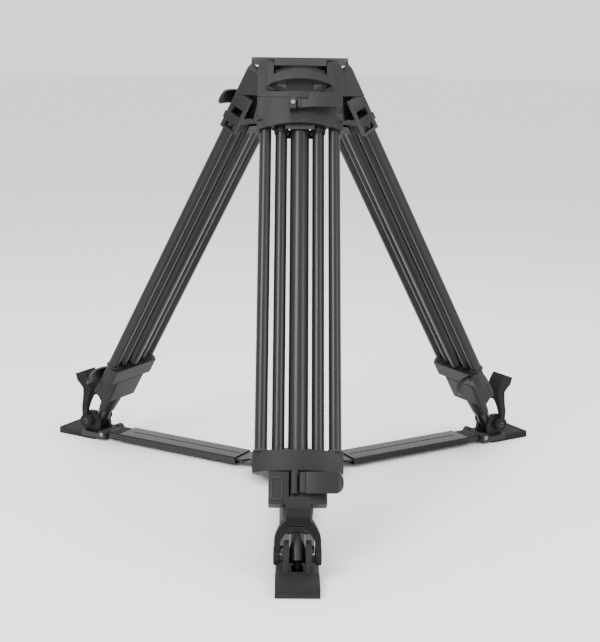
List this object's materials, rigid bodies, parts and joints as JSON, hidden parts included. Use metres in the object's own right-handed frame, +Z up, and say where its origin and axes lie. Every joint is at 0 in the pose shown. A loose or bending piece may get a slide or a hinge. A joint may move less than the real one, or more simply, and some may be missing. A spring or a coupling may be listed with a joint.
{
  "type": "tripod",
  "caption": "Twin-tube video tripod with a half-ball bowl, telescoping legs, hinged rubber-soled feet and a folding ground-level spreader.",
  "frame": {"origin": "On the floor, at the middle of the box round the three feet. The bowl axis is 0.0994 m from it along +Y.", "axes": "+Z up; -Y towards the front leg; +X from the left leg to the right leg"},
  "size_m": [0.7982, 0.6912, 0.63],
  "materials": {
    "casting": "matt charcoal, fine grain",
    "anodised_tube": "satin dark anodised, drawn",
    "rubber": "moulded, matt",
    "lever": "moulded, semi-matt",
    "steel": "blackened, satin"
  },
  "bodies": {
    "crown": {"crown": "casting", "shoulder_front": "casting", "shoulder_right": "casting", "shoulder_left": "casting"},
    "hub": {"spreader_hub": "casting"},
    "leg_front": {"top_collar_front": "casting", "outer_tube_a_front": "anodised_tube", "outer_tube_b_front": "anodised_tube", "lower_collar_front": "casting"},
    "stage2_front": {"inner_tube_a_front": "anodised_tube", "inner_tube_b_front": "anodised_tube", "stage_block_front": "casting"},
    "stage3_front": {"centre_tube_front": "anodised_tube", "boot_front": "casting", "spike_front": "steel"},
    "foot_front": {"shoe_front": "casting", "pad_front": "rubber"},
    "strap_front": {"fork_strap_front": "rubber"},
    "tongue_front": {"spreader_tongue_front": "casting"},
    "channel_front": {"spreader_channel_front": "anodised_tube"},
    "bar_front": {"spreader_bar_front": "anodised_tube"},
    "spread_lock_front": {"top_lever_front": "lever"},
    "stage_lock_front": {"stage_lever_front": "lever"},
    "leg_right": {"top_collar_right": "casting", "outer_tube_a_right": "anodised_tube", "outer_tube_b_right": "anodised_tube", "lower_collar_right": "casting", "transport_hook": "lever"},
    "stage2_right": {"inner_tube_a_right": "anodised_tube", "inner_tube_b_right": "anodised_tube", "stage_block_right": "casting"},
    "stage3_right": {"centre_tube_right": "anodised_tube", "boot_right": "casting", "spike_right": "steel"},
    "foot_right": {"shoe_right": "casting", "pad_right": "rubber"},
    "strap_right": {"fork_strap_right": "rubber"},
    "tongue_right": {"spreader_tongue_right": "casting"},
    "channel_right": {"spreader_channel_right": "anodised_tube"},
    "bar_right": {"spreader_bar_right": "anodised_tube"},
    "spread_lock_right": {"top_lever_right": "lever"},
    "stage_lock_right": {"stage_lever_right": "lever"},
    "leg_left": {"top_collar_left": "casting", "outer_tube_a_left": "anodised_tube", "outer_tube_b_left": "anodised_tube", "lower_collar_left": "casting"},
    "stage2_left": {"inner_tube_a_left": "anodised_tube", "inner_tube_b_left": "anodised_tube", "stage_block_left": "casting"},
    "stage3_left": {"centre_tube_left": "anodised_tube", "boot_left": "casting", "spike_left": "steel"},
    "foot_left": {"shoe_left": "casting", "pad_left": "rubber"},
    "strap_left": {"fork_strap_left": "rubber"},
    "tongue_left": {"spreader_tongue_left": "casting"},
    "channel_left": {"spreader_channel_left": "anodised_tube"},
    "bar_left": {"spreader_bar_left": "anodised_tube"},
    "spread_lock_left": {"top_lever_left": "lever"},
    "stage_lock_left": {"stage_lever_left": "lever"}
  },
  "joints": [
    {"name": "leg_fold_front", "type": "hinge", "parent": "crown", "child": "leg_front", "pos_m": [0, 0.04338, 0.6], "axis": [1, 0, 0], "range_deg": [0, 24]},
    {"name": "stage2_slide_front", "type": "slide", "parent": "leg_front", "child": "stage2_front", "axis": [0, -0.4959, -0.8684], "range_m": [0, 0.38]},
    {"name": "stage3_slide_front", "type": "slide", "parent": "stage2_front", "child": "stage3_front", "axis": [0, -0.4959, -0.8684], "range_m": [0, 0.38]},
    {"name": "foot_tilt_front", "type": "hinge", "parent": "stage3_front", "child": "foot_front", "pos_m": [0, -0.28224, 0.01954], "axis": [1, 0, 0], "range_deg": [-24.01, 0.01]},
    {"name": "strap_swing_front", "type": "hinge", "parent": "stage3_front", "child": "strap_front", "pos_m": [0, -0.28762, 0.03], "axis": [1, 0, 0], "range_deg": [0, 45]},
    {"name": "arm_fold_front", "type": "hinge", "parent": "foot_front", "child": "tongue_front", "pos_m": [0, -0.25661, 0.0105], "axis": [1, 0, 0], "range_deg": [-0.01, 84.92]},
    {"name": "arm_outer_slide_front", "type": "slide", "parent": "tongue_front", "child": "channel_front", "axis": [0, 1, 0], "range_m": [-0.0001, 0.18854]},
    {"name": "arm_inner_slide_front", "type": "slide", "parent": "channel_front", "child": "bar_front", "axis": [0, 1, 0], "range_m": [-0.0001, 0.18854]},
    {"name": "spread_lock_lever_front", "type": "hinge", "parent": "leg_front", "child": "spread_lock_front", "pos_m": [-0.001, -0.00064, 0.56809], "axis": [0, -0.4959, -0.8684], "range_deg": [0, 75]},
    {"name": "stage_lock_lever_front", "type": "hinge", "parent": "stage2_front", "child": "stage_lock_front", "pos_m": [0.0056, -0.25827, 0.11294], "axis": [0, -0.4959, -0.8684], "range_deg": [0, 75]},
    {"name": "leg_fold_right", "type": "hinge", "parent": "crown", "child": "leg_right", "pos_m": [0.0485, 0.12738, 0.6], "axis": [-0.5, 0.866, 0], "range_deg": [0, 24]},
    {"name": "stage2_slide_right", "type": "slide", "parent": "leg_right", "child": "stage2_right", "axis": [0.4295, 0.248, -0.8684], "range_m": [0, 0.38]},
    {"name": "stage3_slide_right", "type": "slide", "parent": "stage2_right", "child": "stage3_right", "axis": [0.4295, 0.248, -0.8684], "range_m": [0, 0.38]},
    {"name": "foot_tilt_right", "type": "hinge", "parent": "stage3_right", "child": "foot_right", "pos_m": [0.3305, 0.2902, 0.01954], "axis": [-0.5, 0.866, 0], "range_deg": [-24.01, 0.01]},
    {"name": "strap_swing_right", "type": "hinge", "parent": "stage3_right", "child": "strap_right", "pos_m": [0.33515, 0.29289, 0.03], "axis": [-0.5, 0.866, 0], "range_deg": [0, 45]},
    {"name": "arm_fold_right", "type": "hinge", "parent": "foot_right", "child": "tongue_right", "pos_m": [0.3083, 0.27738, 0.0105], "axis": [-0.5, 0.866, 0], "range_deg": [-0.01, 84.92]},
    {"name": "arm_outer_slide_right", "type": "slide", "parent": "tongue_right", "child": "channel_right", "axis": [-0.866, -0.5, 0], "range_m": [-0.0001, 0.18854]},
    {"name": "arm_inner_slide_right", "type": "slide", "parent": "channel_right", "child": "bar_right", "axis": [-0.866, -0.5, 0], "range_m": [-0.0001, 0.18854]},
    {"name": "spread_lock_lever_right", "type": "hinge", "parent": "leg_right", "child": "spread_lock_right", "pos_m": [0.08712, 0.14853, 0.56809], "axis": [0.4295, 0.248, -0.8684], "range_deg": [0, 75]},
    {"name": "stage_lock_lever_right", "type": "hinge", "parent": "stage2_right", "child": "stage_lock_right", "pos_m": [0.30694, 0.28306, 0.11294], "axis": [0.4295, 0.248, -0.8684], "range_deg": [0, 75]},
    {"name": "leg_fold_left", "type": "hinge", "parent": "crown", "child": "leg_left", "pos_m": [-0.0485, 0.12738, 0.6], "axis": [-0.5, -0.866, 0], "range_deg": [0, 24]},
    {"name": "stage2_slide_left", "type": "slide", "parent": "leg_left", "child": "stage2_left", "axis": [-0.4295, 0.248, -0.8684], "range_m": [0, 0.38]},
    {"name": "stage3_slide_left", "type": "slide", "parent": "stage2_left", "child": "stage3_left", "axis": [-0.4295, 0.248, -0.8684], "range_m": [0, 0.38]},
    {"name": "foot_tilt_left", "type": "hinge", "parent": "stage3_left", "child": "foot_left", "pos_m": [-0.3305, 0.2902, 0.01954], "axis": [-0.5, -0.866, 0], "range_deg": [-24.01, 0.01]},
    {"name": "strap_swing_left", "type": "hinge", "parent": "stage3_left", "child": "strap_left", "pos_m": [-0.33515, 0.29289, 0.03], "axis": [-0.5, -0.866, 0], "range_deg": [0, 45]},
    {"name": "arm_fold_left", "type": "hinge", "parent": "foot_left", "child": "tongue_left", "pos_m": [-0.3083, 0.27738, 0.0105], "axis": [-0.5, -0.866, 0], "range_deg": [-0.01, 84.92]},
    {"name": "arm_outer_slide_left", "type": "slide", "parent": "tongue_left", "child": "channel_left", "axis": [0.866, -0.5, 0], "range_m": [-0.0001, 0.18854]},
    {"name": "arm_inner_slide_left", "type": "slide", "parent": "channel_left", "child": "bar_left", "axis": [0.866, -0.5, 0], "range_m": [-0.0001, 0.18854]},
    {"name": "spread_lock_lever_left", "type": "hinge", "parent": "leg_left", "child": "spread_lock_left", "pos_m": [-0.08612, 0.15026, 0.56809], "axis": [-0.4295, 0.248, -0.8684], "range_deg": [0, 75]},
    {"name": "stage_lock_lever_left", "type": "hinge", "parent": "stage2_left", "child": "stage_lock_left", "pos_m": [-0.31254, 0.27336, 0.11294], "axis": [-0.4295, 0.248, -0.8684], "range_deg": [0, 75]},
    {"name": "hub_level", "type": "hinge", "parent": "bar_front", "child": "hub", "pos_m": [0, 0.03338, 0.0124], "axis": [1, 0, 0], "range_deg": [-84.92, 0.01]}
  ],
  "couplings": [
    {"joint": "foot_tilt_front", "follows": "leg_fold_front", "ratio": -1},
    {"joint": "arm_fold_front", "follows": "leg_fold_front", "ratio": 3.5377},
    {"joint": "arm_outer_slide_front", "follows": "stage3_slide_front", "ratio": 0.4959},
    {"joint": "arm_inner_slide_front", "follows": "stage2_slide_front", "ratio": 0.4959},
    {"joint": "leg_fold_right", "follows": "leg_fold_front", "ratio": 1},
    {"joint": "stage2_slide_right", "follows": "stage2_slide_front", "ratio": 1},
    {"joint": "stage3_slide_right", "follows": "stage3_slide_front", "ratio": 1},
    {"joint": "foot_tilt_right", "follows": "leg_fold_front", "ratio": -1},
    {"joint": "arm_fold_right", "follows": "leg_fold_front", "ratio": 3.5377},
    {"joint": "arm_outer_slide_right", "follows": "stage3_slide_front", "ratio": 0.4959},
    {"joint": "arm_inner_slide_right", "follows": "stage2_slide_front", "ratio": 0.4959},
    {"joint": "leg_fold_left", "follows": "leg_fold_front", "ratio": 1},
    {"joint": "stage2_slide_left", "follows": "stage2_slide_front", "ratio": 1},
    {"joint": "stage3_slide_left", "follows": "stage3_slide_front", "ratio": 1},
    {"joint": "foot_tilt_left", "follows": "leg_fold_front", "ratio": -1},
    {"joint": "arm_fold_left", "follows": "leg_fold_front", "ratio": 3.5377},
    {"joint": "arm_outer_slide_left", "follows": "stage3_slide_front", "ratio": 0.4959},
    {"joint": "arm_inner_slide_left", "follows": "stage2_slide_front", "ratio": 0.4959},
    {"joint": "hub_level", "follows": "leg_fold_front", "ratio": -3.5377}
  ]
}
